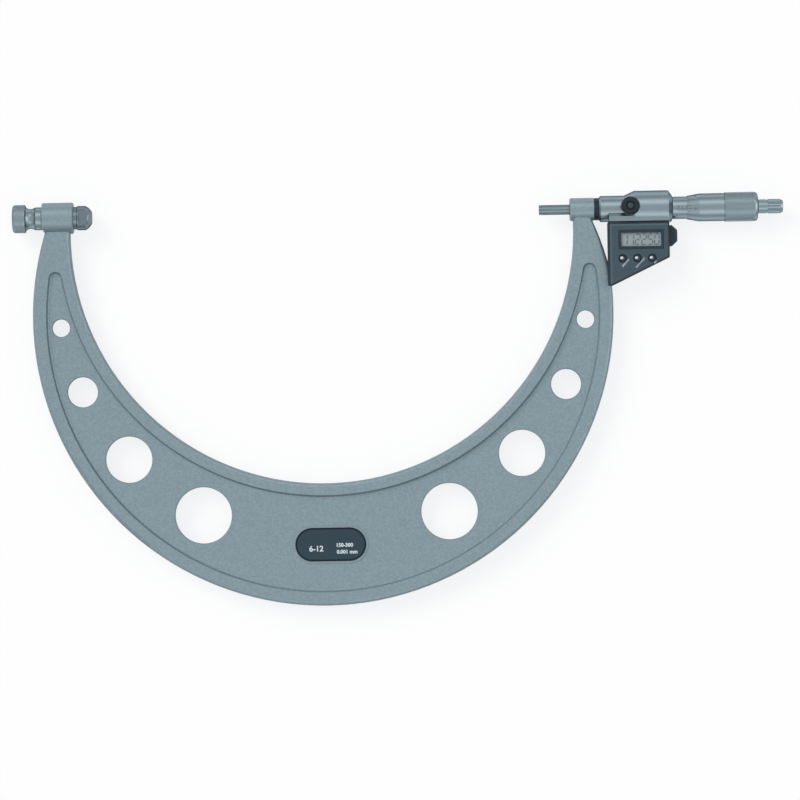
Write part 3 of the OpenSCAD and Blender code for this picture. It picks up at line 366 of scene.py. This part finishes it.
def addPiece(name, bm, body, finish, smooth=None):  # bm is in millimetres, smooth in degrees
    bmesh.ops.scale(bm, verts=bm.verts, vec=(mm, mm, mm))
    bmesh.ops.remove_doubles(bm, verts=bm.verts, dist=0.1e-6)
    bmesh.ops.recalc_face_normals(bm, faces=bm.faces)
    mesh = bpy.data.meshes.new(name)
    bm.to_mesh(mesh)
    bm.free()
    if smooth is not None:
        mesh.shade_smooth()
        mesh.set_sharp_from_angle(angle=math.radians(smooth))
    piece = bpy.data.objects.new(name, mesh)
    bpy.context.scene.collection.objects.link(piece)
    mesh.materials.append(finish)
    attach(piece, body)


def topOf(name):  # the middle of a CAD node's top, in millimetres
    low, high = (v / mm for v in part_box(name))
    return Vector(((low.x + high.x) / 2, (low.y + high.y) / 2, high.z))


def axisTurn(degrees):  # about the measuring axis
    return Matrix.Rotation(math.radians(degrees), 4, "X")


knurlGrip = {"from": 403.5, "to": 422.7, "radius": 9.24, "height": 0.16, "around": 76, "along": 17}
knurlClamp = {"from": -48.95, "to": -43.0, "radius": 8.88, "height": 0.14, "around": 64, "along": 6}


def diamondKnurl(name, size, body):  # pyramids on each edge of a quilted tube
    bm = bmesh.new()
    length = size["to"] - size["from"]
    bmesh.ops.create_cone(bm, segments=size["around"], radius1=size["radius"], radius2=size["radius"],
                          depth=length, cap_ends=False)
    lengthwise = [e for e in bm.edges if abs(e.verts[0].co.z - e.verts[1].co.z) > length / 2]
    bmesh.ops.subdivide_edges(bm, edges=lengthwise, cuts=size["along"] - 1, use_grid_fill=True)
    quilt = list(bm.edges)
    bmesh.ops.poke(bm, faces=bm.faces)
    halves = bmesh.ops.subdivide_edges(bm, edges=quilt, cuts=1)
    bmesh.ops.triangulate(bm, faces=bm.faces)
    peaks = {v for v in halves["geom_inner"] if isinstance(v, bmesh.types.BMVert)}
    for v in peaks:
        if abs(abs(v.co.z) - length / 2) > 0.01:  # not on the two end rings
            across = Vector((v.co.x, v.co.y, 0))
            v.co += across.normalized() * (size["radius"] + size["height"] - across.length)
    toAxis = Matrix.Rotation(math.pi / 2, 4, "Y")
    place = Matrix.Translation((size["from"] + length / 2, 0, 0)) @ toAxis
    bmesh.ops.transform(bm, verts=bm.verts, matrix=place)
    addPiece(name, bm, body, chrome)


diamondKnurl("thimble_knurl", knurlGrip, "spindle")
diamondKnurl("clamp_screw_knurl", knurlClamp, "clamp_screw")
print("knurls cut")


def addBar(bm, size, place):  # a thin bar, in millimetres
    made = bmesh.ops.create_cube(bm, size=1)["verts"]
    bmesh.ops.transform(bm, verts=made, matrix=place @ Matrix.Diagonal((*size, 1)))


def addWords(bm, words, height, place, bold=0.0):  # raised letters, centred, in millimetres
    curve = bpy.data.curves.new("words", "FONT")
    capShare = 0.7  # height of a capital as a share of the font's size
    curve.body, curve.size, curve.extrude, curve.offset = words, height / capShare, 0.015, bold
    curve.align_x, curve.align_y = "CENTER", "CENTER"
    curve.resolution_u = 3
    holder = bpy.data.objects.new("words", curve)
    mesh = bpy.data.meshes.new_from_object(holder)
    mesh.transform(place)
    bm.from_mesh(mesh)
    bpy.data.objects.remove(holder)
    bpy.data.curves.remove(curve)
    bpy.data.meshes.remove(mesh)


sleeveScale = {"zero": 373.985, "pitch": 0.635, "count": 41, "longEvery": 4, "radius": 7.1,
               "line": 0.14, "thick": 0.03, "sink": 0.005, "overlap": 1.02, "tick": 1.5, "longTick": 2.4,
               "indexAt": 7.3, "indexFrom": 371.6, "indexPast": 3,
               "digit": 1.5, "digitTurn": -11, "digitSink": 0.01}
thimbleScale = {"edge": 379.7, "edgeRadius": 7.5, "bevelLength": 7.6, "bodyRadius": 8.9,
                "divisions": 25, "longEvery": 5, "line": 0.16, "thick": 0.03, "inset": 0.25,
                "tick": 1.9, "longTick": 3.0, "indexAt": 7.3,
                "digit": 1.7, "digitPast": 2.0, "digitSink": 0.02}


def sleeveMarks(size):
    bm = bmesh.new()
    start, end = size["indexFrom"], size["zero"] + size["pitch"] * (size["count"] - 1) + size["indexPast"]
    addBar(bm, (end - start, size["line"], size["thick"]),
           axisTurn(size["indexAt"]) @ Matrix.Translation(((end + start) / 2, 0, size["radius"])))
    for i in range(size["count"]):
        x = size["zero"] + i * size["pitch"]
        isLong = i % size["longEvery"] == 0
        tick, steps = (size["longTick"], 4) if isLong else (size["tick"], 3)
        arc = math.degrees(tick / size["radius"]) / steps
        for k in range(steps):  # short flats that follow the sleeve round
            addBar(bm, (size["line"], tick / steps * size["overlap"], size["thick"]),
                   axisTurn(size["indexAt"] + arc * (k + 0.5))
                   @ Matrix.Translation((x, 0, size["radius"] - size["sink"])))
        if isLong:
            addWords(bm, str(i // size["longEvery"] % 10), size["digit"],
                     axisTurn(size["indexAt"] + size["digitTurn"])
                     @ Matrix.Translation((x, 0, size["radius"] - size["digitSink"])))
    addPiece("sleeve_graduations", bm, "graduated_sleeve", darkInk)


def thimbleMarks(size):
    bm = bmesh.new()
    slope = math.atan2(size["bodyRadius"] - size["edgeRadius"], size["bevelLength"])
    lean = Matrix.Translation((size["edge"], 0, size["edgeRadius"])) @ Matrix.Rotation(-slope, 4, "Y")
    for i in range(size["divisions"]):
        isLong = i % size["longEvery"] == 0
        tick = size["longTick"] if isLong else size["tick"]
        place = axisTurn(size["indexAt"] + 360 * i / size["divisions"]) @ lean
        addBar(bm, (tick, size["line"], size["thick"]),
               place @ Matrix.Translation((tick / 2 + size["inset"], 0, 0)))
        if isLong:
            addWords(bm, str(i), size["digit"],
                     place @ Matrix.Translation((tick + size["digitPast"], 0, -size["digitSink"]))
                     @ Matrix.Rotation(-math.pi / 2, 4, "Z"))
    addPiece("thimble_graduations", bm, "spindle", darkInk)


sleeveMarks(sleeveScale)
thimbleMarks(thimbleScale)
print("scales engraved")


reading = {"text": "11.2250", "left": 337.7, "bottom": -23.4, "height": 6.5, "width": 2.8, "step": 4.05,
           "bar": 0.8, "thick": 0.03, "endGap": 1.2, "sideGap": 1.1, "lean": 0.08, "top": 10.45,
           "dot": 0.7, "dotBack": 1.05}
segments = {"0": "abcdef", "1": "bc", "2": "abged", "3": "abgcd", "4": "fgbc", "5": "afgcd",
            "6": "afgedc", "7": "abc", "8": "abcdefg", "9": "abcdfg"}


def lcdDigits(size):
    bm = bmesh.new()
    h, w, bar, thick = size["height"], size["width"], size["bar"], size["thick"]
    flat = (w - bar * size["endGap"], bar, thick)
    upright = (bar, h / 2 - bar * size["sideGap"], thick)
    bars = {"a": (0, h, flat), "g": (0, h / 2, flat), "d": (0, 0, flat),
            "f": (-w / 2, h * 0.75, upright), "b": (w / 2, h * 0.75, upright),
            "e": (-w / 2, h * 0.25, upright), "c": (w / 2, h * 0.25, upright)}
    spot = 0
    for letter in size["text"]:
        x = size["left"] + spot * size["step"]
        if letter == ".":
            addBar(bm, (size["dot"], size["dot"], thick),
                   Matrix.Translation((x - size["dotBack"], size["bottom"], size["top"])))
            continue
        for name in segments[letter]:
            dx, dy, shape = bars[name]
            addBar(bm, shape, Matrix.Translation((x + w / 2 + dx, size["bottom"] + dy, size["top"])))
        spot += 1
    for v in bm.verts:
        v.co.x += (v.co.y - size["bottom"]) * size["lean"]
    addPiece("display_digits", bm, "frame", lcdInk)


lcdDigits(reading)

plateText = {"bold": 0.12, "lines": (("6-12", -9.3, -2.75, 3.5), ("150-300", 8.7, -0.55, 2.3),
                                     ("0.001 mm", 10.4, -4.9, 2.3))}  # words, right, up, height


def plateNumbers(size):
    bm = bmesh.new()
    top = topOf("range_plate")
    for words, dx, dy, height in size["lines"]:
        addWords(bm, words, height, Matrix.Translation(top + Vector((dx, dy, 0))), size["bold"])
    addPiece("plate_numbers", bm, "frame", palePrintAndHighlight)


plateNumbers(plateText)

# painted highlight: a pale flattened spot in each button's dish, up and to the left of its middle
buttonHighlight = {"half": (1.4, 0.95, 0.32), "left": 0.95, "lift": 0.38, "sink": 0.42, "smooth": 40}
buttonWords = {"turn": 47, "height": 1.0, "bold": 0.05,
               "words": {"zero_button": ("ZERO/ON", 1.8, -3.0), "hold_button": ("DATA HOLD", 1.8, -3.0),
                         "preset_button": ("SET", 2.05, -2.65)}}  # words, right, up


def addButtonDots(size, buttons):  # a pale painted highlight in the dish of each button
    for button in buttons:
        place = topOf(button) + Vector((-size["left"], size["lift"], -size["sink"]))
        bm = bmesh.new()
        bmesh.ops.create_uvsphere(bm, u_segments=32, v_segments=16, radius=1)
        bmesh.ops.scale(bm, verts=bm.verts, vec=size["half"])
        bmesh.ops.translate(bm, verts=bm.verts, vec=place)
        addPiece(button + "_painted_highlight", bm, button, palePrintAndHighlight, size["smooth"])


def addButtonWords(size):
    bm = bmesh.new()
    coverTop = topOf("display_cover").z
    turn = Matrix.Rotation(math.radians(size["turn"]), 4, "Z")
    for button, (words, dx, dy) in size["words"].items():
        place = topOf(button)
        at = Matrix.Translation((place.x + dx, place.y + dy, coverTop))
        addWords(bm, words, size["height"], at @ turn, size["bold"])
    addPiece("button_labels", bm, "frame", labelInk)


addButtonDots(buttonHighlight, buttonWords["words"])
addButtonWords(buttonWords)
print("display, plate and button marks placed")


floorLook = {"colour": (0.2, 0.18, 0.16, 1), "roughness": 0.9, "shade": (0.99, 1.01), "cloud": 0.3,
             "fixed": {"Specular IOR Level": 0.0, "Emission Strength": 1.0}, "glow": (0.8, 0.82, 0.84, 1),
             "half": 6, "middle": (0.2, -0.1, -11.52 * mm)}


def buildFloor(look):  # it glows for the rays that show it, and keeps the shadow
    bm = bmesh.new()
    bmesh.ops.create_grid(bm, x_segments=8, y_segments=8, size=look["half"])
    bmesh.ops.translate(bm, verts=bm.verts, vec=look["middle"])
    mesh = bpy.data.meshes.new("floor")
    bm.to_mesh(mesh)
    bm.free()
    floor = bpy.data.objects.new("floor", mesh)
    bpy.context.scene.collection.objects.link(floor)
    f = Finish("paleFloor", look)
    f.shade(f.noise(look["cloud"], 2))
    f.set("Emission Color", f.mix(f.backgroundRays(), (0, 0, 0, 1), look["glow"]))
    mesh.materials.append(f.material)


keyLamp = {"strength": 1.55, "spread": 34, "way": (0.72, -0.62, -0.86)}


def buildKey(size):
    lamp = bpy.data.lights.new("keyLight", "SUN")
    lamp.energy, lamp.angle = size["strength"], math.radians(size["spread"])
    holder = bpy.data.objects.new("keyLight", lamp)
    holder.rotation_euler = Vector(size["way"]).to_track_quat("-Z", "Y").to_euler()
    holder.visible_glossy = False  # the backdrop's bright patches give the gloss
    bpy.context.scene.collection.objects.link(holder)


# a pale dome with one bright patch on each side of X and one at the spindle's end
backdrop = {"horizon": 0.4, "top": 0.68, "rise": (0.12, 0.5),
            "boxWay": (0.66, 0.75), "boxGlow": 0.85, "boxEdge": (0.93, 1.0),
            "sideWay": (0.8, 0.0, 0.6), "sideGlow": 1.1, "sideEdge": (0.86, 0.98),
            "softHorizon": 0.05, "softTop": 0.86, "softRise": (0, 1)}


def buildWorld(size):  # a pale backdrop for the rays that show it, soft light from above for the rest
    world = bpy.data.worlds.new("studio")
    bpy.context.scene.world = world
    world.use_nodes = True
    w = NodeBoard(world.node_tree)
    way = w.node("ShaderNodeTexCoord", output="Generated")
    up = w.axisOf(way, "Z")
    boxes = w.axisOf(way, "Y").sizeOnly() * size["boxWay"][0] + up * size["boxWay"][1]
    side = w.node("ShaderNodeVectorMath", {"operation": "DOT_PRODUCT"}, {0: way, 1: size["sideWay"]}, "Value")
    shown = w.ease(up, size["horizon"], size["top"], *size["rise"]) \
        + w.ease(boxes, 0, size["boxGlow"], *size["boxEdge"]) \
        + w.ease(side, 0, size["sideGlow"], *size["sideEdge"])
    soft = w.ease(up, size["softHorizon"], size["softTop"], *size["softRise"])
    seen = w.backgroundRays()
    strength = seen * shown + (1 - seen) * soft
    background = w.tree.nodes["Background"]
    w.tree.links.new(strength.socket, background.inputs["Strength"])
    background.inputs["Color"].default_value = (1, 1, 1, 1)


cameraView = {"pixelSize": 0.6385, "pixels": 800, "lookAt": (0.19443, -0.11963), "roll": 0.993,
              "lens": 200, "sensor": 36, "clip": (0.05, 20)}


def buildCamera(size):
    camera = bpy.data.cameras.new("camera")
    camera.lens, camera.sensor_width = size["lens"], size["sensor"]
    camera.clip_start, camera.clip_end = size["clip"]
    width = size["pixels"] * size["pixelSize"] * mm
    distance = width / 2 / (camera.sensor_width / 2 / camera.lens)
    holder = bpy.data.objects.new("camera", camera)
    holder.location = (*size["lookAt"], distance)
    holder.rotation_euler = (0, 0, -math.radians(size["roll"]))
    bpy.context.scene.collection.objects.link(holder)
    bpy.context.scene.camera = holder


buildFloor(floorLook)
buildKey(keyLamp)
buildWorld(backdrop)
buildCamera(cameraView)
bpy.context.scene.view_settings.view_transform = "Standard"
print("studio ready")
